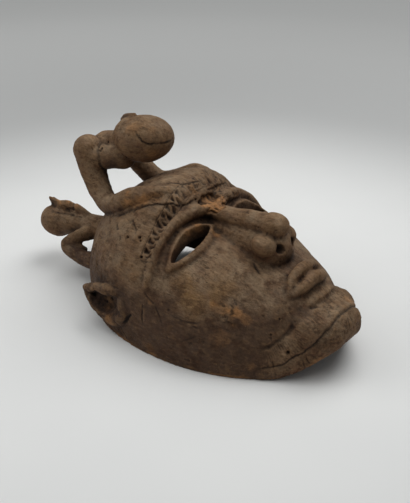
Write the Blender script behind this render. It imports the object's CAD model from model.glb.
"""The old carved wooden mask with its two figures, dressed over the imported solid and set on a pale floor.

The forms are blocked out with the maker's measures of the solid, melted into one block of wood, hollowed
and pierced, and then worked over: chip-carved band, beard, tool marks, cracks, worm holes and wear.
Measures are in millimetres in the mask's own frame until the finished mesh is brought to metres.
"""
import math

import bmesh
import bpy
import numpy as np
from mathutils import Euler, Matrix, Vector
from mathutils.bvhtree import BVHTree
from mathutils.kdtree import KDTree


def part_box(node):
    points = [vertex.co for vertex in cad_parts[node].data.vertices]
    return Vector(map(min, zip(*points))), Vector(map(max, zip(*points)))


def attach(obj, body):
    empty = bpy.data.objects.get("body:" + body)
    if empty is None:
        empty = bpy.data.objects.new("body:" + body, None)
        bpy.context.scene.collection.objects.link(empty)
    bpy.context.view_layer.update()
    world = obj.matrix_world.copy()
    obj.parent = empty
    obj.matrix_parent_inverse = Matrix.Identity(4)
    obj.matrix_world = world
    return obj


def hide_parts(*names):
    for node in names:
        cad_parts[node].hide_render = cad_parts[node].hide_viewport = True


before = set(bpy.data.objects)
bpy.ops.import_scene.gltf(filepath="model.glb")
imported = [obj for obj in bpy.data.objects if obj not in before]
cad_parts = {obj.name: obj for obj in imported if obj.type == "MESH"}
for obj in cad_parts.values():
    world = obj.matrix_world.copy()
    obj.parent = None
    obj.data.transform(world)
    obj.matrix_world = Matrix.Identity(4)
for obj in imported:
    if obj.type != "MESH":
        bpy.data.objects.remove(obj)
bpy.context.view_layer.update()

bl_info = {
    "name": "Carved Wooden Mask",
    "version": (1, 0, 0),
    "blender": (4, 5, 0),
    "location": "View3D > Sidebar > Mask",
    "description": "Carves an old wooden face mask with a figure over its forehead and one at its crown",
    "category": "Add Mesh",
}

MM = 0.001

# Driving measures of the solid, as in the part's source
CROWN_X = -112
CHIN_X = 138
BEARD_FRONT_X = 142
HALF_WIDTH = 87
WIDEST_X = 0
CROWN_LIFT = 27
CHIN_LIFT = 25
REST_FROM_X = -46
REST_TO_X = 106
FACE_HEIGHT = 86
FOREHEAD_HEIGHT = 119
FOREHEAD_FROM_X = -100
FOREHEAD_TO_X = 8
FOREHEAD_HALF_WIDTH = 62
EYE_X = (CROWN_X + BEARD_FRONT_X) / 2
NOSE_BASE_X = (EYE_X + BEARD_FRONT_X) / 2
MOUTH_X = NOSE_BASE_X + (BEARD_FRONT_X - NOSE_BASE_X) / 3
EYE_Y = 38
EYE_LENGTH = 46
UPPER_LID_ARCH = 5
LOWER_LID_ARCH = 8
NOSE_HEIGHT = 110
BAND_X = -10
BAND_REACH = 70
# Measures that the part's source holds inside its functions
FOREHEAD_FOOT = 58
CROWN_FIGURE_Y = -20
NOSE_TIP_X = NOSE_BASE_X - 12
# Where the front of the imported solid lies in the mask's own X, measured on the solid
FRONT_OF_SOLID = 142.054

# Triangles that the worked mesh is thinned to
TRIANGLES = 196000

# Rays cast from each point to see what hides it, the turn in radians from one to the next, and their
# reach in millimetres
SKY_RAYS = 10
GOLDEN_TURN = 2.399963
HIDING_REACH = 16

# The photograph's size in pixels, and the pixel of it that the camera's axis runs through
PHOTO_WIDTH = 410
PHOTO_HEIGHT = 503
AXIS_PIXEL = (207, 264.5)
# The camera of the photograph's view: angles in degrees, lengths in millimetres, shift as a share of the
# picture's height
CAMERA_AZIMUTH = 40
CAMERA_ELEVATION = 30
CAMERA_LENS = 50
CAMERA_SENSOR = 36
CAMERA_DISTANCE = 600
CAMERA_TARGET_Z = 40
CAMERA_SHIFT = ((PHOTO_WIDTH / 2 - AXIS_PIXEL[0]) / PHOTO_HEIGHT,
                (AXIS_PIXEL[1] - PHOTO_HEIGHT / 2) / PHOTO_HEIGHT)
# Lights as name, place and width in metres, watts, and the angle in degrees that they spread to
LIGHTS = (("ceiling", (0, 0, 4.5), 5.0, 87.0, 180), ("softbox_right", (0.05, 0.56, 1.0), 0.9, 2.9, 120),
          ("softbox_left", (-0.75, -0.5, 0.8), 0.9, 1.65, 120))
ROOM_LIGHT = 0.18

# Where the row's frame has the mask's own X = 0, in millimetres
ORIGIN_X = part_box("mask_carving")[1].x / MM - FRONT_OF_SOLID


def linear(colour):
    """An sRGB hex value such as "4f3d2f" as linear RGBA."""
    shares = [int(colour[i:i + 2], 16) / 255 for i in (0, 2, 4)]
    return [s / 12.92 if s <= 0.04045 else ((s + 0.055) / 1.055) ** 2.4 for s in shares] + [1.0]


def camera_back():
    """The direction from what the camera looks at back to the camera."""
    azimuth, elevation = math.radians(CAMERA_AZIMUTH), math.radians(CAMERA_ELEVATION)
    return Vector((math.sin(azimuth) * math.cos(elevation), -math.cos(azimuth) * math.cos(elevation),
                   math.sin(elevation)))


def lerp(a, b, share):
    return a + (b - a) * share


def ramp(value, low, high):
    """0 below low, 1 above high, and smooth between them. It falls where high is below low."""
    share = np.clip((value - low) / (high - low), 0, 1)
    return share * share * (3 - 2 * share)


def curve_through(points, shares):
    """Places along the centripetal curve through the points, at shares of it from 0 to 1."""
    points = np.asarray(points, float)
    last = len(points) - 1
    framed = np.vstack([2 * points[0] - points[1], points, 2 * points[-1] - points[-2]])
    steps = np.maximum(np.sqrt(np.linalg.norm(np.diff(framed, axis=0), axis=1)), 1e-4)
    shares = np.clip(np.atleast_1d(shares), 0, 1) * last
    k = np.minimum(shares.astype(int), last - 1)
    w = (shares - k)[:, None]
    p0, p1, p2, p3 = (framed[k + i] for i in range(4))
    d0, d1, d2 = (steps[k + i][:, None] for i in range(3))
    out = d1 * ((p1 - p0) / d0 - (p2 - p0) / (d0 + d1) + (p2 - p1) / d1)
    back = d1 * ((p2 - p1) / d1 - (p3 - p1) / (d1 + d2) + (p3 - p2) / d2)
    return (p1 + out * w + (3 * (p2 - p1) - 2 * out - back) * w ** 2
            + (2 * (p1 - p2) + out + back) * w ** 3)


def profile(pairs):
    """A smooth line through pairs of place and value, as a function of the place."""
    samples = curve_through(pairs, np.linspace(0, 1, 161))
    return lambda x: np.interp(x, samples[:, 0], samples[:, 1])


def mirrored(stations, plane=0):
    return [(x, 2 * plane - y, z, radius) for x, y, z, radius in stations]


def across_face(half):
    """Stations given from one side to the middle, carried on to the other side."""
    return list(half) + mirrored(half[:-1])[::-1]


# The plan and profiles of the hollow face

def outline(x, inset=0):
    back = np.maximum((WIDEST_X - x) / (WIDEST_X - CROWN_X - inset), 0)
    front = np.maximum((x - WIDEST_X) / (CHIN_X - 2 * inset - WIDEST_X), 0)
    return ((HALF_WIDTH - inset) * np.maximum(1 - back ** 2, 0) ** 0.46
            * np.maximum(1 - front ** 2.2, 0) ** 0.7)


def rim_height(x):
    crown = np.maximum((REST_FROM_X - x) / (REST_FROM_X - CROWN_X), 0)
    chin = np.maximum((x - REST_TO_X) / (CHIN_X - REST_TO_X), 0)
    return CROWN_LIFT * crown ** 1.5 + CHIN_LIFT * chin ** 1.4


face_top = profile([
    (CROWN_X, CROWN_LIFT + 4), (-108, 53), (-94, 75), (-68, 95), (-36, 106), (-14, 105), (0, 96),
    (EYE_X, FACE_HEIGHT), (45, FACE_HEIGHT - 4), (NOSE_BASE_X, FACE_HEIGHT - 13), (MOUTH_X, 66),
    (116, 54), (130, 43), (CHIN_X, CHIN_LIFT + 6),
])
forehead_ridge = profile([
    (FOREHEAD_FROM_X, 62), (-94, 74), (-80, 89), (-60, 105), (-36, 115), (-10, FOREHEAD_HEIGHT),
    (FOREHEAD_TO_X, FOREHEAD_HEIGHT - 3),
])


def closing(x, start, end, power):
    """1 in the middle of a form and 0 at both its ends."""
    q = np.abs((2 * x - start - end) / (end - start))
    return np.sqrt(np.maximum(1 - q ** power, 0))


class Melon:
    """A closed form like half a melon lying along X, with its sizes as functions of x."""

    def __init__(self, start, end, width, foot, top, squareness, fullness):
        self.start, self.end, self.width = start, end, width
        self.foot, self.top = foot, top
        self.squareness, self.fullness = squareness, fullness

    def height(self, x, y):
        """Height of its skin over the plan, and far below it where it doesn't reach."""
        width = np.maximum(self.width(x), 1e-6)
        c = np.minimum(np.abs(y) / width, 1) ** (1 / self.squareness(x))
        z = self.foot(x) + (self.top(x) - self.foot(x)) * (1 - c * c) ** (self.fullness(x) / 2)
        inside = (x > self.start) & (x < self.end) & (np.abs(y) < width)
        return np.where(inside, z, -1e3)

    def shape(self, points, depth):
        """A unit sphere's points moved onto the form, whose underside reaches depth below its foot."""
        spread = np.hypot(points[:, 0], points[:, 1])
        at_pole = spread < 1e-5
        spread = np.where(at_pole, 1, spread)
        x = lerp(self.start, self.end, (1 - points[:, 2]) / 2)
        c, s = points[:, 0] / spread, points[:, 1] / spread
        y = np.sign(c) * np.abs(c) ** self.squareness(x) * self.width(x)
        rise = (self.top(x) - self.foot(x)) * np.abs(s) ** self.fullness(x)
        z = self.foot(x) + np.where(s > 0, rise, -depth * np.abs(s) ** 0.3)
        middle = (self.foot(x) + self.top(x)) / 2
        return np.stack([x, np.where(at_pole, 0, y), np.where(at_pole, middle, z)], 1)


def face_form(inset):
    start, end = CROWN_X + inset, CHIN_X - 2 * inset

    def top(x):
        close = closing(x, start, end, 12) if inset else 1
        return rim_height(x) + (face_top(x) - inset - rim_height(x)) * close

    return Melon(start, end, lambda x: outline(x, inset), rim_height, top,
                 lambda x: lerp(0.75, 0.95, ramp(x, 10, 90)), lambda x: lerp(0.8, 1.1, ramp(x, 10, 90)))


def forehead_form(inset):
    start, end = FOREHEAD_FROM_X + inset, FOREHEAD_TO_X - inset

    def front(x):
        return closing(np.maximum(x, -40), -80 - end, end, 4)

    def top(x):
        close = closing(x, start, -start, 12) if inset else 1
        return FOREHEAD_FOOT + (forehead_ridge(x) - inset - FOREHEAD_FOOT) * front(x) * close

    return Melon(start, end,
                 lambda x: np.minimum(outline(x, inset) * 0.72, FOREHEAD_HALF_WIDTH - inset) * front(x),
                 lambda x: FOREHEAD_FOOT, top, lambda x: 0.85, lambda x: 0.85)


face = face_form(0)
forehead = forehead_form(0)


def skin(x, y):
    """Height of the mask's outer skin at a place in plan."""
    return np.maximum(face.height(x, y), forehead.height(x, y))


def on_skin(points, height=face.height):
    """Limb stations whose third number is a rise over the skin."""
    return [(x, y, float(height(np.float64(x), np.float64(y))) + rise, radius)
            for x, y, rise, radius in points]


# Blocking out: each form is a sphere whose points are moved, and all go into one bmesh

def add_form(block, move, around, along):
    """Adds a unit sphere, with its points moved by a function of all of them, to the block."""
    form = bmesh.new()
    bmesh.ops.create_uvsphere(form, u_segments=around, v_segments=along, radius=1)
    places = move(np.array([vert.co.to_tuple() for vert in form.verts]))
    for vert, place in zip(form.verts, places):
        vert.co = place
    mesh = bpy.data.meshes.new("form")
    form.to_mesh(mesh)
    form.free()
    block.from_mesh(mesh)
    bpy.data.meshes.remove(mesh)


def ellipsoid(block, centre, radii, pitch=0, yaw=0):
    turn = np.array(Euler((0, math.radians(-pitch), math.radians(yaw))).to_matrix())

    def move(points):
        lying = points[:, [2, 1, 0]] * np.array(radii)
        return lying @ turn.T + np.array(centre)

    add_form(block, move, 40, 28)


def limb(block, stations, flat=1, across=(0, 1, 0), around=28, along=64):
    """A round-ended limb along the stations (x, y, z, radius). The direction "across" keeps the full
    radius, and the one square to it takes the share "flat"."""
    stations = np.asarray(stations, float)
    radii = profile(np.stack([np.linspace(0, 1, len(stations)), stations[:, 3]], 1))
    cap = 0.16

    def move(points):
        turn = np.arccos(np.clip(points[:, 2], -1, 1)) / math.pi
        t = np.clip((turn - cap) / (1 - 2 * cap), 0, 1)
        start_cap = np.minimum(turn / cap, 1) * math.pi / 2
        end_cap = np.minimum((1 - turn) / cap, 1) * math.pi / 2
        reach = np.cos(end_cap) - np.cos(start_cap)
        ring = np.sin(start_cap) * np.sin(end_cap)
        spread = np.maximum(np.hypot(points[:, 0], points[:, 1]), 1e-9)
        radius = radii(t)
        place = curve_through(stations[:, :3], t)
        tangent = curve_through(stations[:, :3], t + 1e-3) - curve_through(stations[:, :3], t - 1e-3)
        tangent /= np.linalg.norm(tangent, axis=1)[:, None]
        side = np.array(across, float) - tangent * (tangent @ np.array(across, float))[:, None]
        side /= np.linalg.norm(side, axis=1)[:, None]
        other = np.cross(tangent, side)
        return (place + tangent * (reach * radius)[:, None]
                + side * (ring * radius * points[:, 0] / spread)[:, None]
                + other * (ring * radius * flat * points[:, 1] / spread)[:, None])

    add_form(block, move, around, along)


def shell(block):
    add_form(block, lambda points: face.shape(points, 0), 128, 110)
    add_form(block, lambda points: forehead.shape(points, 6), 96, 64)


def brows(block):
    half = [(3, -76, -2, 3.5), (0, -62, 0, 4.5), (-1, -42, 1, 5), (2, -20, 4, 5.5), (8, 0, 7, 6)]
    limb(block, on_skin(across_face(half)), across=(0, 0, 1), along=120)


def eyelids(block, side):
    for arch in (-UPPER_LID_ARCH - 2.6, LOWER_LID_ARCH + 2.6):
        stations = []
        for share in (-0.5, -0.25, 0, 0.25, 0.5):
            middle = math.cos(share * math.pi)
            y = EYE_Y + share * EYE_LENGTH * 1.08
            stations.append((EYE_X + arch * middle, side * y, 0, 3.2 + 0.8 * middle))
        limb(block, on_skin(stations), across=(0, 0, 1))


def nose(block):
    foot = FACE_HEIGHT
    limb(block, [(2, 0, foot + 8, 8), (24, 0, foot + 7, 8), (46, 0, foot + 10, 9),
                 (NOSE_TIP_X, 0, NOSE_HEIGHT - 12, 10)])
    limb(block, [(8, 0, foot - 8, 13), (36, 0, foot - 8, 16), (NOSE_TIP_X - 2, 0, foot - 7, 19)])
    ellipsoid(block, (NOSE_TIP_X, 0, NOSE_HEIGHT - 11), (12.5, 11, 10.5))
    for side in (-1, 1):
        ellipsoid(block, (NOSE_TIP_X + 1, side * 13, foot + 1), (11, 8.5, 9))


def mouth_and_chin(block):
    upper = [(MOUTH_X - 1, -23, 0, 2.5), (MOUTH_X - 4.5, -12, 3, 4.4), (MOUTH_X - 4, 0, 5, 4.8)]
    lower = [(MOUTH_X + 0.5, -22, 0, 2.5), (MOUTH_X + 4.5, -12, 2.5, 4.6), (MOUTH_X + 5, 0, 4, 5.2)]
    for half in (upper, lower):
        limb(block, on_skin(across_face(half)), across=(0, 0, 1))
    ellipsoid(block, (109, 0, 50), (11, 22, 9), pitch=-30)


def beard_strap(start, end, inside, rise, radius):
    """Stations of one band of the beard, from one cheek round the chin to the other."""
    stations = []
    for i in range(-6, 7):
        middle = math.cos(i / 6 * math.pi / 2)
        x = lerp(start, end, middle ** 0.8)
        y = 0 if i == 0 else math.copysign(outline(min(x + inside, CHIN_X)) - 2, i)
        z = rim_height(x + inside) + rise[0] + rise[1] * middle + rise[2] * middle ** 8
        stations.append((x, y, z, radius[0] + radius[1] * middle))
    return stations


OUTER_STRAP = beard_strap(98, CHIN_X - 4, 0, (5, 12, 0), (5, 9))
INNER_STRAP = beard_strap(92, CHIN_X - 19, 7, (15, 8, 8), (6, 7))
FILLING = beard_strap(95, CHIN_X - 11, 3.5, (10, 10, 4), (5.2, 7.3))


def beard(block):
    limb(block, OUTER_STRAP, flat=0.6, across=(-0.35, 0, 0.94), along=160)
    limb(block, INNER_STRAP, flat=0.6, across=(-0.8, 0, 0.6), along=160)
    limb(block, FILLING, flat=0.6, across=(-0.58, 0, 0.77), along=160)


def ear(block, side):
    def y(out):
        return side * (HALF_WIDTH - 11 + out)

    ellipsoid(block, (-38, y(-3), 26), (25, 9, 16))
    limb(block, [(-64, y(6), 31, 2.6), (-54, y(6.5), 34.5, 4), (-42, y(6.5), 38, 4.8),
                 (-33, y(5.5), 40, 4.8), (-26, y(3), 40, 4.5)])
    limb(block, [(-63, y(6), 30, 2.6), (-57, y(7.5), 24.5, 3.4), (-49, y(9), 20, 3.8),
                 (-38, y(8.5), 15.5, 4.4), (-28, y(7.5), 14, 5.5), (-19.5, y(8), 19, 5.5),
                 (-15.5, y(7.5), 26, 5.2), (-20, y(6), 34, 4.6)])


def forehead_figure(block):
    def on_dome(points):
        return on_skin(points, skin)

    limb(block, [(-116, -23, 123, 13), (-107, -26, 105, 11.5), (-96, -29.5, 92, 10), (-82, -34, 85.5, 9),
                 (-67, -38, 90, 9)] + on_dome([(-47, -38, 1, 8.5), (-30, -34, -1, 7), (-19, -26, -3, 5)]),
         along=110)
    limb(block, [(-113, 19, 118, 12.5), (-107, 21, 109, 10.5), (-98, 26, 96, 9.5), (-84, 33, 84, 9.5),
                 (-67, 38, 89, 9)] + on_dome([(-47, 37, -1, 7.5), (-32, 34, -3, 5.5), (-22, 28, -4.5, 4)]),
         along=110)
    limb(block, [(-114, -17, 119, 13), (-112, 0, 120, 13), (-110, 14, 118, 13)], across=(1, 0, 0))
    limb(block, [(-112, -23, 115, 12.5), (-104, -20.5, 117, 11.5), (-95, -16.5, 119.5, 10.5),
                 (-84, -12, 122, 12)])
    limb(block, [(-109, -5, 122, 14.5), (-98, -3, 124, 15), (-86, -2, 129, 16)])
    ellipsoid(block, (-68.5, -1, 137.5), (29.5, 21.5, 19.5), pitch=16)
    ellipsoid(block, (-80, -1, 137), (17.5, 18, 17))
    limb(block, [(-95, 0, 149, 2.2), (-90, 0, 153, 2.5), (-81, 1, 155.5, 2)], flat=0.5)


def crown_figure(block):
    arm = [(-119, -24, 42, 8), (-128, -36, 37, 6.5), (-136, -42.5, 29, 6), (-121, -42, 23.5, 7),
           (-98, -40, 24, 9)]
    limb(block, [(-160, -23, 41, 13.5), (-145, -21, 42, 12.5), (-128, -18, 43, 11), (-104, -14, 44, 12)])
    ellipsoid(block, (-167, -24, 39), (19, 16, 16), pitch=6, yaw=8)
    web = [(-131, -40, 30, 5), (-125, -38, 29, 5), (-119, -35, 27.5, 3.5)]
    for stations in (arm, web):
        limb(block, stations, flat=0.8, across=(0, 0, 1))
        limb(block, mirrored(stations, CROWN_FIGURE_Y), flat=0.8, across=(0, 0, 1))
    limb(block, [(-175, -25.5, 60, 2.6), (-170, -25, 57.5, 5), (-163, -24.5, 56, 5.2),
                 (-155, -23.5, 57.5, 5.6), (-146, -22, 58, 5.6), (-137, -20.5, 56, 5),
                 (-127, -18, 51.5, 4.5)],
         flat=0.6, across=(0, 0, 1))


def cuts(block, wall):
    """Everything that the maker took out: the hollow, eye slits, nostrils and the bowls of the ears."""
    add_form(block, lambda points: face_form(wall).shape(points, 60), 96, 80)
    add_form(block, lambda points: forehead_form(wall).shape(points, 20), 72, 48)
    for side in (-1, 1):
        ellipsoid(block, (NOSE_TIP_X + 13, side * 8, FACE_HEIGHT), (6, 3.4, 3.6))
        ellipsoid(block, (-40, side * (HALF_WIDTH + 0.5), 28), (16, 9.5, 9.5))
        eye_slit(block, side)


def eye_slit(block, side):
    """An almond that stands upright through the wall."""
    def move(points):
        arch = np.where(points[:, 0] < 0, UPPER_LID_ARCH, LOWER_LID_ARCH)
        ring = np.maximum(np.hypot(points[:, 0], points[:, 1]), 1e-9)
        c, s = points[:, 0] / ring, points[:, 1] / ring
        reach = np.minimum(ring / 0.35, 1)
        x = c * arch * np.sqrt(np.abs(c)) * reach
        y = s * EYE_LENGTH / 2 * reach
        z = np.where(points[:, 2] > 0, FACE_HEIGHT + 20, FACE_HEIGHT - 40)
        return np.stack([EYE_X + x, side * EYE_Y + y, z], 1)

    add_form(block, move, 64, 16)


def melted(block, size, name):
    """The block of forms as one closed skin, remeshed at that grain size."""
    bmesh.ops.recalc_face_normals(block, faces=block.faces)
    mesh = bpy.data.meshes.new(name)
    block.to_mesh(mesh)
    block.free()
    piece = bpy.data.objects.new(name, mesh)
    bpy.context.scene.collection.objects.link(piece)
    remesh(piece, size)
    return piece


def apply_modifiers(piece):
    bpy.context.view_layer.update()
    evaluated = piece.evaluated_get(bpy.context.evaluated_depsgraph_get())
    old = piece.data
    piece.data = bpy.data.meshes.new_from_object(evaluated)
    piece.modifiers.clear()
    bpy.data.meshes.remove(old)


def remesh(piece, size):
    modifier = piece.modifiers.new("grain", "REMESH")
    modifier.mode = "VOXEL"
    modifier.voxel_size = size
    apply_modifiers(piece)


def cut(piece, cutter):
    """Takes the cutter out of the piece."""
    before = len(piece.data.polygons)
    modifier = piece.modifiers.new("cut", "BOOLEAN")
    modifier.operation = "DIFFERENCE"
    modifier.solver = "MANIFOLD"
    modifier.object = cutter
    apply_modifiers(piece)
    if len(piece.data.polygons) in (0, before):
        raise RuntimeError("the hollow could not be cut out of the block")
    bpy.data.objects.remove(cutter)


def smooth(piece, times):
    modifier = piece.modifiers.new("rubbed", "SMOOTH")
    modifier.iterations = times
    modifier.factor = 0.5
    apply_modifiers(piece)


def read(mesh, what):
    values = np.empty(len(mesh.vertices) * 3)
    source = mesh.vertices if what == "co" else mesh.vertex_normals
    source.foreach_get("co" if what == "co" else "vector", values)
    return values.reshape(-1, 3)


def write(mesh, places):
    mesh.vertices.foreach_set("co", places.astype(np.float32).ravel())
    mesh.update()


# Noise for tool marks and weathering, the same on every run

def grain(points, size, seed):
    """Smooth noise from -1 to 1 whose grains measure size, one number or one for each axis."""
    scaled = points / np.array(size, float) + seed * 17.31
    cell = np.floor(scaled).astype(np.int64)
    share = scaled - cell
    share = share * share * (3 - 2 * share)
    total = np.zeros(len(points))
    for corner in range(8):
        step = np.array([corner & 1, corner >> 1 & 1, corner >> 2])
        at = cell + step
        mixed = (at[:, 0] * 73856093 ^ at[:, 1] * 19349663 ^ at[:, 2] * 83492791) & 0xFFFFFFFF
        mixed = (mixed ^ mixed >> 13) * 1274126177 & 0xFFFFFFFF
        mixed = mixed ^ mixed >> 16
        weight = np.prod(np.where(step, share, 1 - share), axis=1)
        total += weight * ((mixed & 0xFFFF) / 32767.5 - 1)
    return total


class Line:
    """A line of close samples that a chip, crack or groove follows."""

    def __init__(self, places):
        self.places = np.asarray(places, float)
        steps = np.linalg.norm(np.diff(self.places, axis=0), axis=1)
        self.along = np.concatenate([[0], np.cumsum(steps)])
        self.tree = KDTree(len(self.places))
        for i, place in enumerate(self.places):
            self.tree.insert(place, i)
        self.tree.balance()

    def near(self, points, reach):
        """For the points within reach: their indices, distance, and the nearest sample of the line."""
        low, high = self.places.min(0) - reach, self.places.max(0) + reach
        ids = np.nonzero(((points > low) & (points < high)).all(1))[0]
        found = [self.tree.find(points[i])[1:] for i in ids]
        if not found:
            return ids, np.zeros(0), np.zeros(0, int)
        which, distance = np.array(found).T
        keep = distance < reach
        return ids[keep], distance[keep], which[keep].astype(int)

    def taper(self, which, share):
        """1 along the line and 0 at its ends, over a share of its length at each end."""
        along, total = self.along[which], self.along[-1]
        return np.minimum(np.minimum(along, total - along) / (share * total), 1) ** 0.6


band_y = np.linspace(-BAND_REACH, BAND_REACH, 281)
band_x = BAND_X + 7 * (band_y / BAND_REACH) ** 2
band_z = skin(band_x, band_y)
band_u = Line(np.stack([band_x, band_y, band_z], 1)).along
band_slope = (skin(band_x + 3, band_y) - skin(band_x - 3, band_y)) / 6


def band_cuts(points, sizes):
    """Depth of the chip-carved zigzag band and of the lines beside it. Old blunt cuts wander and vary,
    and between the figure's hands the band is worn down almost to the ground."""
    x, y, z = points.T
    run = points * [0, 1, 0]
    line = BAND_X + 7 * (y / BAND_REACH) ** 2
    u = np.interp(y, band_y, band_u)
    v = (x - line) * np.hypot(1, np.interp(y, band_y, band_slope))
    v = v - 0.8 * grain(run, 10, 3) - 0.45 * grain(points, 2.6, 7)
    half = sizes.band_width / MM / 2 * (1 + 0.12 * grain(run, 14, 9))
    length = band_u[-1]
    pitch = length / round(length / (sizes.chip_pitch / MM))
    phase = u / pitch + 0.22 * grain(run, 9, 5) + 0.06 * grain(points, 2.2, 6)
    tri = 4 * np.abs(phase - np.floor(phase) - 0.5) - 1
    amplitude = half - 0.6
    beside = np.abs(v - amplitude * tri) / np.hypot(1, 4 * amplitude / pitch)
    chip = np.clip((beside - 0.8) / 1.6, 0, 1) * np.clip((half - np.abs(v)) / 1.0, 0, 1)
    border = np.clip(1 - np.abs(np.abs(v) - half - 0.8) / 0.8, 0, 1)
    ends = ramp(np.abs(y), BAND_REACH + 0.5, BAND_REACH - 3)
    ragged = y + 7 * grain(points, 8, 11)
    kept = (1 - 0.15 * ramp(ragged, -48, -38)) * (1 - 0.6 * ramp(ragged, -23, -14) * ramp(y, 42, 34))
    uneven = np.clip(0.75 + 0.55 * grain(run, 5, 8) + 0.4 * grain(points, 2.4, 10), 0.1, 1.3)
    outer = ramp(np.abs(z - skin(x, y)), 7, 4) * (np.abs(v) < half + 3)
    return (sizes.chip_depth / MM * chip + 1.3 * border) * uneven * ends * kept * outer


# Marks as pixels in the photograph's frame, each a list of pixels that it runs through
TEMPLE_SCRATCH = [(132, 218), (133.5, 225), (136, 231)]
TEMPLE_NICK = [(117, 224), (118, 231)]
TEMPLE_HOOK = [(138, 226.5), (135, 232), (135.5, 234.5)]
TEMPLE_FLECK = [(120, 235), (120, 240)]
BESIDE_EAR_SCRATCH = [(142.5, 304), (142, 314), (142.5, 325)]
ABOVE_EAR_SCRATCH = [(144, 292), (148.5, 298.5), (156, 305)]
SHOULDER_NICK = [(102, 145.5), (104, 145.5)]
CHEEK_SCRATCH = [(180, 342), (188.5, 339), (197, 336)]
BAND_END_SCRATCH = [(153, 262), (143, 261.5), (138, 257)]
BAND_END_CROSSING = [(148.5, 255), (145, 260.5), (144.5, 265)]
HEAD_CRACK = [(135.5, 131), (138, 137), (146.5, 143), (158, 143.5), (168.5, 141.5), (172.5, 137)]
NOSE_SIDE_CRACK = [(253, 263), (256, 267.5), (260, 275)]
EAR_FRONT_CRACK = [(131, 314), (127.5, 318.5), (124, 324)]
EAR_FOOT_CRACK = [(117.5, 324.5), (122, 330.5), (127.5, 339)]
UNDER_ARM_FURROW = [(112.5, 215.5), (118, 215.5), (130, 211.5), (140, 207.5), (149.5, 205)]
ARM_EDGE = [(137.5, 208.5), (147.5, 205), (160, 203.5), (170, 203.5), (181, 204.5), (188, 203), (196, 198.5)]
# Holes and a worn place, each as the pixel in the photograph's frame at its middle
TEMPLE_HOLE = (127, 237)
TEMPLE_PIT = (139, 237)
TEMPLE_PIT_END = (140, 240.5)
BAND_END_HOLE = (141, 257)
EAR_BOWL_HOLE = (112, 298.5)
EAR_BOWL_PIT = (107.5, 301.5)
LOWER_CHEEK_HOLE = (271, 335)
UPPER_CHEEK_HOLE = (279.5, 319)
JAW_HOLE = (288, 353)
EAR_LOBE = (109, 321)

# Cuts and damage, each a width, a depth and the pixels or places that it runs through. Cracks are jagged.
SCRATCHES = [
    (0.9, 0.9, BESIDE_EAR_SCRATCH),
    (0.9, 0.7, ABOVE_EAR_SCRATCH),
    (1.6, 1.4, TEMPLE_SCRATCH),
    (1.3, 1.1, TEMPLE_NICK),
    (0.9, 0.8, TEMPLE_HOOK),
    (0.9, 0.6, TEMPLE_FLECK),
    (0.8, 0.3, SHOULDER_NICK),
    (0.7, 0.35, CHEEK_SCRATCH),
    (0.8, 0.5, BAND_END_SCRATCH),
    (0.8, 0.5, BAND_END_CROSSING),
    (0.8, 0.5, [(14, -79, 44), (20, -80, 38), (24, -81, 31)]),
    (0.8, 0.5, [(31, -76, 40), (42, -73, 38), (54, -69, 40)]),
    (1.0, 0.7, [(70, 58, 40), (58, 66, 38), (44, 72, 36)]),
    (0.9, 0.6, [(-20, 70, 72), (-8, 74, 66), (6, 75, 60)]),
    (1.0, 0.7, [(-96, 30, 62), (-92, 42, 58), (-84, 52, 58)]),
]
CRACKS = [
    (0.8, 1.3, HEAD_CRACK),
    (1.1, 1.3, NOSE_SIDE_CRACK),
    (1.0, 1.3, [(-102, 4, 52), (-103, 10, 44), (-101, 17, 36)]),
    (1.0, 1.3, [(-66, 62, 44), (-58, 68, 40), (-46, 72, 39)]),
    (0.9, 1.1, [(26, 66, 52), (40, 63, 50), (52, 60, 47), (60, 59, 43)]),
    (0.8, 1.0, [(-139, -18, 55), (-146, -16, 54), (-154, -15, 53)]),
    (1.0, 1.2, [(-88, -24, 80), (-80, -28, 86), (-70, -28, 92)]),
    (1.0, 1.6, [(118, -10, 52), (116, -13, 50), (113, -16, 47)]),
    (1.5, 2.4, EAR_FRONT_CRACK),
    (0.8, 1.2, EAR_FOOT_CRACK),
]
FURROWS = [
    (2.0, 1.4, UNDER_ARM_FURROW),
    (2.0, 1.1, [(-36, 46, 97), (-26, 42, 102), (-17, 34, 106)]),
    (1.6, 1.2, [(-100, -13, 108), (-99, -21, 112), (-101, -22, 122), (-104, -18, 130)]),
    (1.4, 0.9, [(-166, -34, 52), (-154, -32, 55), (-142, -28, 54), (-130, -23, 50)]),
]
# Torn edges, each a height, a width, what it runs through, and the direction of the side on which a
# layer of wood stands over the line. The first carries the near arm's end as a ragged ridge to the band.
TORN = [
    (1.3, 4.5, ARM_EDGE, (-0.3, 0.6, 0.75)),
    (0.9, 3.5, [(-6, 34, 104), (-2, 24, 108), (1, 14, 110), (0, 4, 110)], (-0.9, 0.2, 0.3)),
    (0.8, 3.0, [(-26, -20, 113), (-18, -16, 114), (-12, -8, 115), (-10, 3, 116)], (-0.4, 0.8, 0.4)),
    (0.9, 3.0, [(-20, 58, 84), (-8, 62, 78), (4, 66, 70)], (0.3, -0.7, 0.5)),
]
# Places where the surface has split off in thin layers, as place, radius and depth
FLAKED = [
    ((4, 18, 108), 15, 1.3), ((-12, 26, 113), 12, 0.9), ((-9, -8, 109), 9, 0.9), ((6, 34, 100), 9, 1.0),
    ((-22, -34, 108), 7, 0.7), ((50, -72, 28), 9, 0.6), ((68, -56, 50), 11, 0.7),
    ((-150, -24, 62), 11, 1.3), ((-170, -25, 58), 7, 1.0), ((-40, -86, 14), 7, 0.8),
    ((122, -8, 50), 6, 0.7), ((-28, 52, 96), 9, 0.9), ((60, 50, 52), 9, 0.7), ((-92, 24, 78), 8, 0.9),
    ((-66, 58, 60), 9, 0.7), ((108, 44, 20), 8, 0.7),
]
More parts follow.
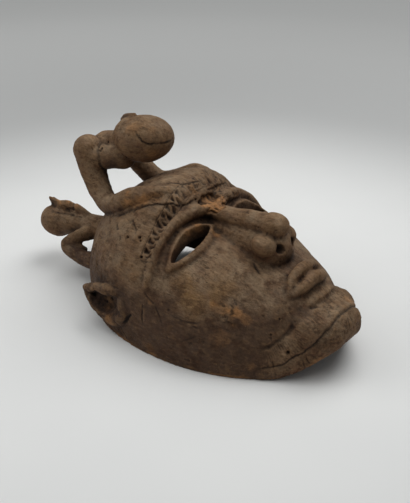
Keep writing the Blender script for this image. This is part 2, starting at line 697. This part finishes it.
# Worm holes and pits as pixel or place, radius and depth
HOLES = [
    (TEMPLE_HOLE, 1.2, 2.4), (TEMPLE_PIT, 1.3, 2.6), (BAND_END_HOLE, 1.2, 2.4), (TEMPLE_PIT_END, 1.0, 1.8),
    (EAR_BOWL_HOLE, 1.5, 3.0), (EAR_BOWL_PIT, 1.0, 1.4), (LOWER_CHEEK_HOLE, 0.9, 1.4),
    (UPPER_CHEEK_HOLE, 0.8, 1.2), (JAW_HOLE, 1.5, 2.2),
    ((-98, -21, 124), 1.2, 2.0), ((-99, -19, 119), 1.0, 1.6), ((-96, -14, 131), 1.0, 1.4),
    ((-70, 36, 94), 1.2, 2.2), ((-58, 52, 84), 1.3, 2.4), ((-82, 40, 72), 1.1, 2.0),
    ((34, 70, 45), 1.2, 2.2), ((62, 52, 54), 1.2, 2.0), ((-104, -30, 46), 1.2, 2.0),
    ((-63, -72, 48), 1.1, 1.8), ((-88, 12, 88), 1.2, 2.2), ((20, 78, 34), 1.3, 2.2),
    ((-160, -14, 50), 1.0, 1.6), ((-118, 22, 110), 1.1, 1.8),
]
# Places rubbed or broken down to brown wood, as pixel or place, radius and how bare they are
WORN = [
    ((-43, -45, 103.5), 7, 1.0), ((-36, -43, 104), 7, 1.0), ((-30, -41, 107), 6, 0.8),
    ((-50, -44, 98), 5, 0.5), ((-12, -26, 108), 5, 0.4), ((12, -24, 88), 6, 0.8), ((23, -19, 84), 5, 0.9),
    ((9, -34, 88), 5, 0.6), ((14, 12, 98), 6, 0.8), ((72, -54, 49), 6, 0.9), ((63, -57, 51), 6, 0.5),
    ((80, -52, 46), 5, 0.4), ((60, -62, 52), 5, 0.4), ((-38, -80, 27), 8, 0.35),
    (EAR_LOBE, 6, 0.5), ((-66, -16, 151), 7, 0.35), ((-52, -8, 146), 8, 0.3),
    ((-46, -14, 132), 7, 0.35), ((-112, -22, 130), 6, 0.4), ((-92, -6, 141), 6, 0.35),
    ((-36, 44, 100), 9, 0.7), ((60, 52, 54), 7, 0.5), ((-20, 60, 84), 6, 0.5), ((-150, -22, 61), 6, 0.8),
    ((-160, -24, 61), 6, 0.6), ((-139, -20, 61), 5, 0.5), ((96, -62, 12), 7, 0.35), ((100, 60, 14), 6, 0.4),
    ((12, -84, 8), 6, 0.3), ((-12, 86, 6), 7, 0.4), ((-104, -26, 100), 5, 0.3),
    ((128, 16, 46), 6, 0.35), ((8, -79, 46), 4, 0.35), ((-10, -74, 60), 6, 0.25), ((70, -66, 30), 8, 0.2),
]
# Patches of the patina as place, radius and tone, from -1 for dark brown to 1 for yellow brown
TONED = [
    ((44, -72, 52), 18, 0.8), ((30, -66, 70), 14, 0.7), ((58, -52, 62), 14, 0.6), ((66, -57, 49), 9, 0.6),
    ((-46, -44, 98), 9, 0.4), ((-24, -36, 108), 8, 0.5), ((-60, -12, 150), 12, 0.4),
    ((-54, -22, 105), 10, -1.0), ((-42, -84, 25), 13, -0.8), ((-50, -86, 38), 6, 0.5),
    ((-26, -88, 12), 6, 0.8), ((100, -40, 50), 12, -0.3), ((112, -24, 52), 12, -0.4),
    ((96, -30, 62), 12, -0.5), ((-104, -16, 112), 9, -0.4), ((-98, -38, 30), 10, -0.7),
    ((-134, -42, 36), 8, -0.3), ((-106, -45, 28), 15, -1.0), ((-120, -44, 28), 9, -1.0),
    ((-90, 0, 156), 8, -1.0),
    ((-86, -20, 116), 13, -1.0), ((-77, -18, 123), 8, -0.7),
    ((-150, -22, 62), 9, -0.4), ((-106, -24, 92), 10, -0.4), ((60, 56, 50), 15, 0.6),
    ((-40, 44, 92), 12, 0.5), ((90, -45, 40), 10, 0.2), ((-96, 20, 70), 14, -0.5), ((-10, 70, 60), 14, 0.4),
    ((-60, 0, 90), 14, -0.4), ((20, 40, 84), 12, -0.4), ((-42, 84, 25), 13, -0.8), ((100, 40, 48), 14, -0.4),
]
# The broken place over the root of the nose, where a layer has split off and left bare wood
BREAK_AT = (8, 1, 103)
BREAK_REACH = (13, 15, 12)


def deepened(points, line, width, depth, push, tone, dark):
    """Cuts a V along the line into push, and darkens tone there."""
    ids, distance, which = line.near(points, width * 1.6)
    taper = line.taper(which, 0.25) * np.clip(0.9 + 0.7 * grain(points[ids], 2.4, 29), 0.25, 1.2)
    push[ids] = np.minimum(push[ids], -depth * np.maximum(1 - distance / width, 0) * taper)
    wide = np.maximum(1 - distance / (width * 1.5), 0) * taper
    tone[ids] = np.maximum(tone[ids], dark * np.minimum(wide * 1.6, 1))


def torn(points, line, height, width, over, push, tone):
    """Lifts the surface on one side of the line and sinks it on the other, with dirt under the edge."""
    ids, distance, which = line.near(points, width)
    taper = line.taper(which, 0.15)
    side = np.clip((points[ids] - line.places[which]) @ np.array(over) / 0.4, -1, 1)
    rough = 0.75 + 0.5 * grain(points[ids], 2.8, 27)
    push[ids] += height * side * rough * (1 - distance / width) ** 1.5 * taper * np.where(side > 0, 0.7, 0.9)
    under = ramp(distance, 1.7, 0.5) * ramp(side, 0.9, -0.2)
    tone[ids] = np.maximum(tone[ids], 0.85 * under * taper)


def flaked(points, push, tone, bare):
    """Sharp-edged steps left where thin layers have split off, darker along their edges."""
    share = np.zeros(len(points))
    depth = np.zeros(len(points))
    for centre, radius, deep in FLAKED:
        near = np.linalg.norm(points - np.array(centre), axis=1) / radius
        inside = ramp(near + 0.35 * grain(points, 6, 50), 1.0, 0.6)
        depth = np.where(inside > share, deep, depth)
        share = np.maximum(share, inside)
    layer = grain(points, (9, 5.5, 5.5), 51) + 0.45 * grain(points, (3.4, 2.2, 2.2), 52)
    first, second = ramp(layer, 0.02, 0.12), ramp(layer, 0.42, 0.52)
    push -= depth * share * (0.55 * first + 0.45 * second)
    edge = np.exp(-((layer - 0.07) / 0.07) ** 2) + np.exp(-((layer - 0.47) / 0.07) ** 2)
    tone[:] = np.maximum(tone, 0.7 * np.minimum(edge, 1) * share)
    bare[:] = np.maximum(bare, 0.4 * share * first * ramp(grain(points, 7, 53), -0.2, 0.4))


def seen_at(tree, pixel):
    """The place on the wood that the camera sees at a pixel in the photograph's frame."""
    back = camera_back()
    right = Vector((-back.y, back.x, 0)).normalized()
    up = back.cross(right)
    focal = CAMERA_LENS / CAMERA_SENSOR * PHOTO_HEIGHT
    across, down = pixel[0] - AXIS_PIXEL[0], pixel[1] - AXIS_PIXEL[1]
    start = Vector((0, 0, CAMERA_TARGET_Z)) + CAMERA_DISTANCE * back
    found = tree.ray_cast(start, (across * right - down * up - focal * back).normalized())[0]
    if found is None:
        raise RuntimeError(f"no wood is seen at the pixel {pixel}")
    return found


def located(tree, place):
    """A place in millimetres as it is given, or what is seen at it where it is a pixel."""
    return seen_at(tree, place) if len(place) == 2 else place


def laid_on(tree, places, jag, seed):
    """A line through the pixels or places, pulled onto the surface, that wanders from side to side by
    jag."""
    places = [located(tree, place) for place in places]
    length = float(np.linalg.norm(np.diff(np.asarray(places, float), axis=0), axis=1).sum())
    samples = curve_through(places, np.linspace(0, 1, max(int(length / 0.35), 8)))
    wander = np.stack([grain(samples, 2.6, seed + i) for i in range(3)], 1)
    samples = samples + jag * wander
    return Line([tree.find_nearest(Vector(sample))[0] for sample in samples])


def beard_lines():
    """The middle lines of the two bands of the beard, as closely sampled lines."""
    shares = np.linspace(0, 1, 500)
    return [Line(curve_through([s[:3] for s in strap], shares)) for strap in (OUTER_STRAP, INNER_STRAP)]


def beard_cuts(points, push, tone):
    """A grimy groove between the beard's two bands and a step down to the face, fine worn hatching across
    the inner band, and a rough outer one."""
    outer, inner = beard_lines()
    ids, distance, which = inner.near(points, 17)
    x, _, z = points[ids].T
    far = np.array([outer.tree.find(point)[2] for point in points[ids]])
    share = far / (far + distance) + 0.03 * grain(points[ids], 5, 28)
    shown = inner.taper(which, 0.12) * ramp(z - rim_height(x), 4, 9)
    groove = np.maximum(1 - np.abs(share - 0.41) / 0.055, 0) * shown
    grime = np.maximum(1 - np.abs(share - 0.39) / 0.13, 0) * shown * (0.75 + 0.35 * grain(points[ids], 3, 30))
    step = ramp(distance, 8, 10) * ramp(distance, 13, 10.5) * (far > 19) * shown * ramp(x, 88, 98)
    band = ramp(share, 0.44, 0.5) * ramp(distance, 10, 8) * shown * ramp(x, 88, 100)
    phase = inner.along[which] / 1.9 + 0.3 * grain(points[ids], 5, 21)
    line = np.maximum(1 - np.abs(phase - np.floor(phase) - 0.5) / 0.32, 0)
    line *= np.clip(0.6 + 0.8 * grain(points[ids], 5, 22), 0.1, 1)
    push[ids] -= 1.1 * groove + 0.9 * step + 0.45 * line * band
    for cut_tone in (0.75 * groove, 0.5 * grime, 0.3 * step, 0.3 * line * band):
        tone[ids] = np.maximum(tone[ids], cut_tone)
    ids, distance, which = outer.near(points, 12)
    rough = 0.7 * grain(points[ids], (3.5, 3.5, 2.4), 23) + 0.45 * grain(points[ids], 1.7, 24)
    phase = outer.along[which] / 4.4 + 0.45 * grain(points[ids], 6, 25)
    notch = np.maximum(1 - np.abs(phase - np.floor(phase) - 0.5) / 0.22, 0)
    notch *= np.clip(1.2 * grain(points[ids], 7, 26), 0, 1)
    shown = outer.taper(which, 0.06) * ramp(distance, 12, 8)
    push[ids] += (0.6 * rough - 0.9 * notch) * shown
    tone[ids] = np.maximum(tone[ids], 0.45 * notch * shown)


def broken(points):
    """How far into the broken place over the nose root a point lies, from 0 to 1."""
    gap = (points - np.array(BREAK_AT)) / np.array(BREAK_REACH)
    ragged = 0.22 * grain(points, 4.5, 31) + 0.12 * grain(points, 1.9, 32)
    return ramp(np.linalg.norm(gap, axis=1) + ragged, 1.0, 0.86)


def inside_of(points):
    """1 on the hollow side of the wall and 0 outside."""
    x, y, z = points.T
    depth = np.minimum(skin(x, y) - z, outline(x) - np.abs(y))
    return ramp(depth, 4, 6) * (x > CROWN_X) * (x < CHIN_X)


def tool_marks(points, depth):
    """Shallow hollows with soft edges between them, and the raised grain and pitting of old wood."""
    inner = inside_of(points)
    wide = np.abs(grain(points, (15, 10, 10), 1)) + 0.45 * np.abs(grain(points, (7, 5, 5), 2))
    gouge = np.abs(grain(points + 40, (34, 11, 11), 3))
    by_ear = ramp(np.linalg.norm(np.abs(points - [-40, 0, 26]) - [0, 84, 0], axis=1), 30, 18)
    slow_ear = by_ear * (0.5 * grain(points, 4, 15) + 0.3 * grain(points, 2, 16))
    fibres = 0.13 * grain(points, (9, 1.9, 1.9), 4) + 0.1 * grain(points, (3.2, 1.5, 1.5), 5)
    pitted = -0.55 * ramp(grain(points, (3.2, 2, 2), 12) + 0.5 * grain(points, 9, 13), 0.75, 1.1)
    slow = 0.6 * grain(points, 26, 6) + 0.25 * grain(points, 11, 14)
    outside = slow + slow_ear + pitted
    return (lerp(wide, 2.4 * gouge, inner) - 0.3) * -depth + lerp(outside + fibres, 0.5 * fibres, inner)


def cut_lines(points, tree, push, dark):
    """Cuts the scratches, cracks and furrows into push, each kind with its own jag, seeds and dirt."""
    for marks, jag, first_seed, dirt in ((SCRATCHES, 0.25, 40, 0.55), (CRACKS, 0.7, 60, 1.0),
                                         (FURROWS, 0.7, 80, 0.6)):
        for seed, (width, depth, places) in enumerate(marks, first_seed):
            deepened(points, laid_on(tree, places, jag, seed), width, depth, push, dark, dirt)


def bored(points, tree, push, dark):
    """Sinks the worm holes and pits into push, and darkens them."""
    for centre, radius, depth in HOLES:
        at = np.array(tree.find_nearest(Vector(located(tree, centre)))[0])
        near = np.linalg.norm(points - at, axis=1) / radius
        push[:] = np.minimum(push, -depth * np.sqrt(np.maximum(1 - near ** 2, 0)))
        dark[:] = np.maximum(dark, ramp(near, 1.35, 0.9))


def worn_bare(points, tree, ragged, bare):
    """Bares the worn places and the edge of the rim."""
    for centre, radius, share in WORN:
        near = np.linalg.norm(points - np.array(located(tree, centre)), axis=1) / radius + ragged
        bare[:] = np.maximum(bare, share * ramp(near, 1.05, 0.35))
    x, y, z = points.T
    rim = ramp(z - rim_height(x) + 1.5 * grain(points, 5, 39), 4, 1.5) * (np.abs(y) > 20) * (x > CROWN_X)
    patchy = ramp(grain(points, 9, 40) + 0.4 * grain(points, 2.5, 41), 0.0, 0.5)
    bare[:] = np.maximum(bare, 0.5 * rim * patchy)


def patina(points, ragged):
    """The tone of the surface, from -1 for dark brown to 1 for yellow brown: darker low down, and with
    patches."""
    x, _, z = points.T
    low = ramp(z + 8 * grain(points, 15, 37) + 5 * grain(points, 6, 38), 62, 38)
    tone = -0.85 * low * ramp(x, -104, -88) * ramp(x, 112, 94)
    for centre, radius, share in TONED:
        near = np.linalg.norm(points - np.array(centre), axis=1) / radius + 0.7 * ragged
        tone = tone + share * ramp(near, 1.15, 0.2)
    return np.clip(tone, -1, 1)


def worked(points, tree, sizes):
    """What the tools, worms and years did at each point: how far it moves along its normal in
    millimetres, how dark the cut is, how bare the wood, and its tone."""
    bare = np.zeros(len(points))
    cut_push = np.zeros(len(points))
    band = band_cuts(points, sizes)
    push = -band
    dark = np.clip(band / 1.5, 0, 1) * 0.6
    beard_cuts(points, push, dark)
    flaked(points, push, dark, bare)
    for seed, (height, width, places, over) in enumerate(TORN, 90):
        torn(points, laid_on(tree, places, 0.9, seed), height, width, over, push, dark)
    cut_lines(points, tree, cut_push, dark)
    bored(points, tree, cut_push, dark)
    gone = broken(points)
    splinters = 0.6 * grain(points, (7, 1.6, 1.6), 33) + 0.4 * grain(points, (3, 1.1, 1.1), 34)
    push = lerp(push + cut_push, -2.2 + splinters, gone)
    dark *= 1 - 0.8 * gone
    bare = np.maximum(bare, 0.9 * gone)
    ragged = 0.45 * grain(points, 5.5, 35) + 0.3 * grain(points, 2.2, 36)
    worn_bare(points, tree, ragged, bare)
    return push, dark, bare * (1 - dark), patina(points, ragged)


def add_numbers(mesh, name, values):
    """Stores one number a point for the material to read."""
    attribute = mesh.attributes.new(name, "FLOAT", "POINT")
    attribute.data.foreach_set("value", values.astype(np.float32))


def edges_of(mesh):
    edges = np.empty(len(mesh.edges) * 2, np.int64)
    mesh.edges.foreach_get("vertices", edges)
    return edges.reshape(-1, 2)


def spread_out(values, edges, times):
    """Averages a number or vector of each point with its neighbours', some times over."""
    values = values.reshape(len(values), -1)
    count = np.bincount(edges.ravel(), minlength=len(values))[:, None] + 1
    for _ in range(times):
        total = values.copy()
        for k in range(values.shape[1]):
            total[:, k] += np.bincount(edges[:, 0], values[edges[:, 1], k], len(values))
            total[:, k] += np.bincount(edges[:, 1], values[edges[:, 0], k], len(values))
        values = total / count
    return values


def hidden_share(places, normals, tree, reach):
    """How much of the sky over each point other wood hides within reach, from 0 to 1."""
    rays = []
    for k in range(SKY_RAYS):
        height = math.sqrt(1 - (k + 0.5) / SKY_RAYS)
        turn = k * GOLDEN_TURN
        flat = math.sqrt(1 - height * height)
        rays.append((flat * math.cos(turn), flat * math.sin(turn), height))
    helper = np.where(np.abs(normals[:, :1]) > 0.8, [[0.0, 1.0, 0.0]], [[1.0, 0.0, 0.0]])
    side = np.cross(normals, helper)
    side /= np.linalg.norm(side, axis=1)[:, None]
    other = np.cross(normals, side)
    start = places + 0.35 * normals
    hidden = np.zeros(len(places))
    for a, b, c in rays:
        directions = side * a + other * b + normals * c
        for i, (origin, direction) in enumerate(zip(start.tolist(), directions.tolist())):
            if tree.ray_cast(origin, direction, reach)[0] is not None:
                hidden[i] += 1
    return hidden / len(rays)


def old_wood_mesh(piece, sizes):
    """Works the relief into the remeshed block, thins its mesh, and stores the tones of its surface."""
    mesh = piece.data
    tree = BVHTree.FromObject(piece, bpy.context.evaluated_depsgraph_get())
    places, normals = read(mesh, "co"), read(mesh, "normal")
    push = worked(places, tree, sizes)[0] + tool_marks(places, sizes.tool_marks / MM)
    resting = ramp(places[:, 2], 0.4, 3.0)
    moved = places + normals * (push * resting)[:, None]
    moved[:, 2] = np.maximum(moved[:, 2], 0)
    write(mesh, moved)
    count = sum(len(face.vertices) - 2 for face in mesh.polygons)
    modifier = piece.modifiers.new("thinned", "DECIMATE")
    modifier.ratio = min(TRIANGLES / count, 1)
    apply_modifiers(piece)
    mesh = piece.data
    mesh.shade_smooth()
    places, normals, edges = read(mesh, "co"), read(mesh, "normal"), edges_of(mesh)
    _, dark, bare, tone = worked(places, tree, sizes)
    near = spread_out(places, edges, 2)
    far = spread_out(near, edges, 10)
    ridge = ((places - near) * normals).sum(1)
    bulge = ((places - far) * normals).sum(1)
    add_numbers(mesh, "edge", np.clip(ridge / 0.22, -1, 1) * 0.5 + np.clip(bulge / 1.4, -1, 1) * 0.5)
    own = BVHTree.FromObject(piece, bpy.context.evaluated_depsgraph_get())
    hidden = hidden_share(places, normals, own, HIDING_REACH)
    add_numbers(mesh, "hidden", spread_out(hidden, edges, 4)[:, 0])
    add_numbers(mesh, "dark", dark)
    add_numbers(mesh, "bare", bare)
    add_numbers(mesh, "toned", tone)
    add_numbers(mesh, "inner", inside_of(places))
    places = (places + np.array([ORIGIN_X, 0, 0])) * MM
    write(mesh, places)


def add(tree, kind, settings=None, output=0, **sockets):
    """Adds a node with its settings, gives its sockets values or links, and returns one of its outputs.
    An underline in a socket's name stands for a space, and i6 is the input numbered 6."""
    node = tree.nodes.new(kind)
    for name, value in (settings or {}).items():
        setattr(node, name, value)
    for name, value in sockets.items():
        socket = node.inputs[int(name[1:]) if name[1:].isdigit() else name.replace("_", " ")]
        if isinstance(value, bpy.types.NodeSocket):
            tree.links.new(value, socket)
        else:
            socket.default_value = value
    return node.outputs[output] if node.outputs else None


def old_carved_hardwood(looks):
    """A dense brown hardwood, carved by hand and never painted, dry and matt with age. Its grain runs
    along the mask. Dust greys what faces up, hands have rubbed the ridges, and soot and dirt stay in
    the cuts; where it is chipped, the wood under the skin is orange brown."""
    material = bpy.data.materials.new("old_carved_hardwood")
    material.use_nodes = True
    tree = material.node_tree
    tree.nodes.clear()
    place = add(tree, "ShaderNodeTexCoord", output="Object")
    along = add(tree, "ShaderNodeMapping", Vector=place, Scale=(0.09, 1, 1))
    fibre = add(tree, "ShaderNodeMapping", Vector=place, Scale=(0.3, 1, 1))
    normal = add(tree, "ShaderNodeNewGeometry", output="Normal")
    up = add(tree, "ShaderNodeSeparateXYZ", output=2, Vector=normal)
    told = {name: add(tree, "ShaderNodeAttribute", {"attribute_name": name}, output="Fac")
            for name in ("edge", "hidden", "dark", "bare", "toned", "inner")}
    # Each pattern has the size of its grains in millimetres, its detail and its roughness
    patterns = {"clouds": (place, 40, 3, 0.5), "stains": (place, 17, 5, 0.6), "blots": (place, 8, 6, 0.66),
                "mottle": (fibre, 2.6, 6, 0.72), "bands": (along, 7, 3, 0.5), "streaks": (along, 1.9, 5, 0.6),
                "grit": (place, 1.3, 3, 0.6), "pores": (fibre, 1.1, 2, 0.5), "flecks": (place, 0.9, 1, 0.5)}
    noise = {name: add(tree, "ShaderNodeTexNoise", Vector=vector, Scale=1 / (size * MM), Detail=detail,
                       Roughness=roughness)
             for name, (vector, size, detail, roughness) in patterns.items()}
    dusty = add(tree, "ShaderNodeMapRange", Value=noise["stains"], From_Min=0.34, From_Max=0.62, To_Min=0.2,
                To_Max=0.8)
    open_to_dust = add(tree, "ShaderNodeMapRange", Value=told["hidden"], From_Min=0.55, From_Max=0.0,
                       To_Max=dusty)
    handled = add(tree, "ShaderNodeMapRange", Value=noise["blots"], From_Min=0.3, From_Max=0.65,
                  To_Min=0.15, To_Max=0.6)
    bare = add(tree, "ShaderNodeMapRange", Value=noise["mottle"], From_Min=0.3, From_Max=0.5, To_Min=0.55)
    bare = add(tree, "ShaderNodeMath", {"operation": "MULTIPLY"}, i0=bare, i1=told["bare"])
    bare_wood = add(tree, "ShaderNodeMix", {"data_type": "RGBA"}, output=2, i0=noise["streaks"],
                    i6=looks.bare, i7=looks.bare_light)
    # Layers of tone over the plain wood: what the layer follows, the values where it starts and is full,
    # its greatest share, and its tone
    layers = (
        (noise["clouds"], 0.4, 0.62, 1.0, looks.wood_light),
        (noise["stains"], 0.46, 0.66, 0.55, looks.wood_dark),
        (noise["bands"], 0.48, 0.66, 0.5, looks.wood_red),
        (noise["streaks"], 0.42, 0.62, 0.3, looks.wood_dark),
        (up, -0.3, 0.8, open_to_dust, looks.dust),
        (told["toned"], 0.0, 1.0, 0.85, looks.ochre),
        (told["toned"], 0.0, -1.0, 0.85, looks.wood_low),
        (noise["blots"], 0.5, 0.64, 0.6, looks.wood_dark),
        (told["edge"], 0.1, 0.7, handled, looks.rubbed),
        (bare, 0.0, 1.0, 1.0, bare_wood),
        (noise["flecks"], 0.7, 0.78, 0.4, looks.speck),
        (noise["pores"], 0.36, 0.26, 0.6, looks.soot),
        (told["hidden"], 0.1, 0.65, 0.82, looks.soot),
        (told["edge"], -0.1, -0.7, 0.62, looks.soot),
        (told["dark"], 0.0, 1.0, 0.88, looks.soot),
        (told["inner"], 0.0, 1.0, 0.85, looks.inner),
    )
    wood = looks.wood
    for value, low, high, most, tone in layers:
        share = add(tree, "ShaderNodeMapRange", Value=value, From_Min=low, From_Max=high, To_Max=most)
        wood = add(tree, "ShaderNodeMix", {"data_type": "RGBA"}, output=2, i0=share, i6=wood, i7=tone)
    # Old wood is never even: its tone is multiplied by three patterns
    for pattern, least, most in (("mottle", 0.45, 1.55), ("stains", 0.7, 1.3), ("grit", 0.75, 1.25)):
        shade = add(tree, "ShaderNodeMapRange", Value=noise[pattern], From_Min=0.2, From_Max=0.8,
                    To_Min=least, To_Max=most)
        wood = add(tree, "ShaderNodeMix", {"data_type": "RGBA", "blend_type": "MULTIPLY"}, output=2,
                   i0=1.0, i6=wood, i7=shade)
    relief = 0.0
    for value, share in ((noise["blots"], 0.5), (noise["mottle"], 0.6), (noise["streaks"], 0.35),
                         (noise["grit"], 0.3), (noise["pores"], 0.2)):
        relief = add(tree, "ShaderNodeMath", {"operation": "MULTIPLY_ADD"}, i0=value, i1=share, i2=relief)
    bump = add(tree, "ShaderNodeBump", Height=relief, Strength=0.9, Distance=1.5 * MM)
    rough = add(tree, "ShaderNodeMapRange", Value=noise["blots"], From_Min=0.3, From_Max=0.7, To_Min=0.58,
                To_Max=0.9)
    shader = add(tree, "ShaderNodeBsdfPrincipled", Base_Color=wood, Roughness=rough, IOR=1.45,
                 Specular_IOR_Level=0.28, Normal=bump)
    add(tree, "ShaderNodeOutputMaterial", Surface=shader)
    return material


def pale_paper(looks):
    """Matt studio paper, pale near the mask and a little greyer around it, with the faintest mottle."""
    material = bpy.data.materials.new("pale_paper")
    material.use_nodes = True
    tree = material.node_tree
    tree.nodes.clear()
    place = add(tree, "ShaderNodeTexCoord", output="Object")
    away = add(tree, "ShaderNodeVectorMath", {"operation": "LENGTH"}, output="Value", i0=place)
    mottle = add(tree, "ShaderNodeTexNoise", Vector=place, Scale=1 / 0.12, Detail=2.0)
    paper = add(tree, "ShaderNodeMix", {"data_type": "RGBA"}, output=2, i0=mottle, i6=looks.paper,
                i7=looks.paper_light)
    for start, end, tone in ((0.21, 0.57, looks.paper_far), (0.52, 1.3, looks.paper_light)):
        share = add(tree, "ShaderNodeMapRange", {"interpolation_type": "SMOOTHSTEP"}, Value=away,
                    From_Min=start, From_Max=end)
        paper = add(tree, "ShaderNodeMix", {"data_type": "RGBA"}, output=2, i0=share, i6=paper, i7=tone)
    shader = add(tree, "ShaderNodeBsdfPrincipled", Base_Color=paper, Roughness=0.9, Specular_IOR_Level=0.2)
    add(tree, "ShaderNodeOutputMaterial", Surface=shader)
    return material


def colour(name, description, value):
    return bpy.props.FloatVectorProperty(
        name=name, description=description, default=linear(value), size=4, min=0, max=1, subtype="COLOR")


class MaskSizes(bpy.types.PropertyGroup):
    """Measures of the carving that a user may change."""
    grain_size: bpy.props.FloatProperty(
        name="Grain size", description="Size of the mesh that the wood is worked in",
        default=0.00085, unit="LENGTH")
    wall: bpy.props.FloatProperty(
        name="Wall", description="Thickness of the hollow face's wall", default=0.009, unit="LENGTH")
    band_width: bpy.props.FloatProperty(
        name="Band width", description="Width of the zigzag band over the brows",
        default=0.0118, unit="LENGTH")
    chip_pitch: bpy.props.FloatProperty(
        name="Chip pitch", description="Distance from one chip of a row to the next",
        default=0.0078, unit="LENGTH")
    chip_depth: bpy.props.FloatProperty(
        name="Chip depth", description="Depth of the zigzag band's chips", default=0.0023, unit="LENGTH")
    tool_marks: bpy.props.FloatProperty(
        name="Tool marks", description="Depth of the hollows that the adze and knife left",
        default=0.00045, unit="LENGTH")


class MaskLooks(bpy.types.PropertyGroup):
    """Colours of the old wood and of the paper that it lies on."""
    wood: colour("Wood", "Main brown of the old wood", "5f432c")
    wood_light: colour("Light wood", "Paler clouds in the wood", "765739")
    wood_dark: colour("Dark wood", "Darker streaks and handled places", "3a2416")
    wood_red: colour("Red wood", "Reddish brown streaks", "613a22")
    wood_low: colour("Low wood", "Darker brown toward the rim", "39251a")
    ochre: colour("Ochre", "Yellow-brown places rubbed thin", "775731")
    dust: colour("Dust", "Grey dust on what faces up", "816d55")
    rubbed: colour("Rubbed", "Ridges rubbed by hands", "836546")
    bare: colour("Bare wood", "Wood under the skin where it is chipped", "85582f")
    bare_light: colour("Light bare wood", "Streaks of the bare wood", "a87c50")
    speck: colour("Specks", "Pale grit on the surface", "8f8068")
    soot: colour("Soot", "Dirt and soot in cuts and corners", "150e09")
    inner: colour("Inner wood", "Plain darker wood of the hollow side", "33251a")
    paper: colour("Paper", "Floor", "dcdddc")
    paper_light: colour("Light paper", "Faint mottle of the floor", "e2e3e1")
    paper_far: colour("Far paper", "Floor away from the mask", "b4b5b4")


class MASK_OT_carve(bpy.types.Operator):
    """Carves the whole mask as one piece of wood"""
    bl_idname = "mask.carve"
    bl_label = "Carve the mask"

    def execute(self, context):
        sizes = context.scene.mask_sizes
        grain_size = sizes.grain_size / MM * 1
        block = bmesh.new()
        shell(block)
        for form in (brows, nose, mouth_and_chin, beard, forehead_figure, crown_figure):
            form(block)
        for side in (-1, 1):
            eyelids(block, side)
            ear(block, side)
        piece = melted(block, grain_size, "carved_mask")
        cutter = bmesh.new()
        cuts(cutter, sizes.wall / MM)
        cut(piece, melted(cutter, grain_size, "cuts"))
        remesh(piece, grain_size)
        smooth(piece, 6)
        old_wood_mesh(piece, sizes)
        piece.data.materials.clear()
        piece.data.materials.append(old_carved_hardwood(context.scene.mask_looks))
        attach(piece, "root")
        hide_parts("mask_carving")
        return {"FINISHED"}


class MASK_OT_stage(bpy.types.Operator):
    """Lays the pale floor and sets the soft lights and the camera"""
    bl_idname = "mask.stage"
    bl_label = "Set the stage"

    def execute(self, context):
        sheet = bmesh.new()
        bmesh.ops.create_grid(sheet, x_segments=8, y_segments=8, size=6)
        mesh = bpy.data.meshes.new("floor")
        sheet.to_mesh(mesh)
        sheet.free()
        floor = bpy.data.objects.new("floor", mesh)
        mesh.materials.append(pale_paper(context.scene.mask_looks))
        context.collection.objects.link(floor)
        self.lights(context)
        self.camera(context)
        return {"FINISHED"}

    def lights(self, context):
        for name, place, size, watts, spread in LIGHTS:
            lamp = bpy.data.lights.new(name, "AREA")
            lamp.shape = "DISK"
            lamp.size = size
            lamp.energy = watts
            lamp.spread = math.radians(spread)
            lamp_object = bpy.data.objects.new(name, lamp)
            lamp_object.location = place
            aim = Vector((0, 0, 0.05)) - Vector(place)
            lamp_object.rotation_euler = aim.to_track_quat("-Z", "Y").to_euler()
            context.collection.objects.link(lamp_object)
        world = bpy.data.worlds.new("soft_room")
        world.use_nodes = True
        background = world.node_tree.nodes["Background"]
        background.inputs["Color"].default_value = linear("f2f4f6")
        background.inputs["Strength"].default_value = ROOM_LIGHT
        context.scene.world = world
        context.scene.view_settings.view_transform = "Standard"

    def camera(self, context):
        back = camera_back()
        lens = bpy.data.cameras.new("camera")
        lens.lens = CAMERA_LENS
        lens.sensor_width = CAMERA_SENSOR
        lens.shift_x, lens.shift_y = CAMERA_SHIFT
        camera = bpy.data.objects.new("camera", lens)
        camera.location = (Vector((ORIGIN_X, 0, CAMERA_TARGET_Z)) + back * CAMERA_DISTANCE) * MM
        camera.rotation_euler = (-back).to_track_quat("-Z", "Y").to_euler()
        context.collection.objects.link(camera)
        context.scene.camera = camera


class MASK_PT_panel(bpy.types.Panel):
    """Lists the steps that make the mask, with its measures and colours"""
    bl_label = "Carved mask"
    bl_space_type = "VIEW_3D"
    bl_region_type = "UI"
    bl_category = "Mask"

    def draw(self, context):
        for operator in OPERATORS:
            self.layout.operator(operator.bl_idname)
        for group in (context.scene.mask_sizes, context.scene.mask_looks):
            for name in group.bl_rna.properties.keys():
                if name not in ("rna_type", "name"):
                    self.layout.prop(group, name)


OPERATORS = (MASK_OT_carve, MASK_OT_stage)
CLASSES = (MaskSizes, MaskLooks) + OPERATORS + (MASK_PT_panel,)


def register():
    for kind in CLASSES:
        bpy.utils.register_class(kind)
    bpy.types.Scene.mask_sizes = bpy.props.PointerProperty(type=MaskSizes)
    bpy.types.Scene.mask_looks = bpy.props.PointerProperty(type=MaskLooks)


def unregister():
    del bpy.types.Scene.mask_looks
    del bpy.types.Scene.mask_sizes
    for kind in reversed(CLASSES):
        bpy.utils.unregister_class(kind)


def main():
    register()
    bpy.ops.mask.carve()
    bpy.ops.mask.stage()


if __name__ == "__main__":
    main()
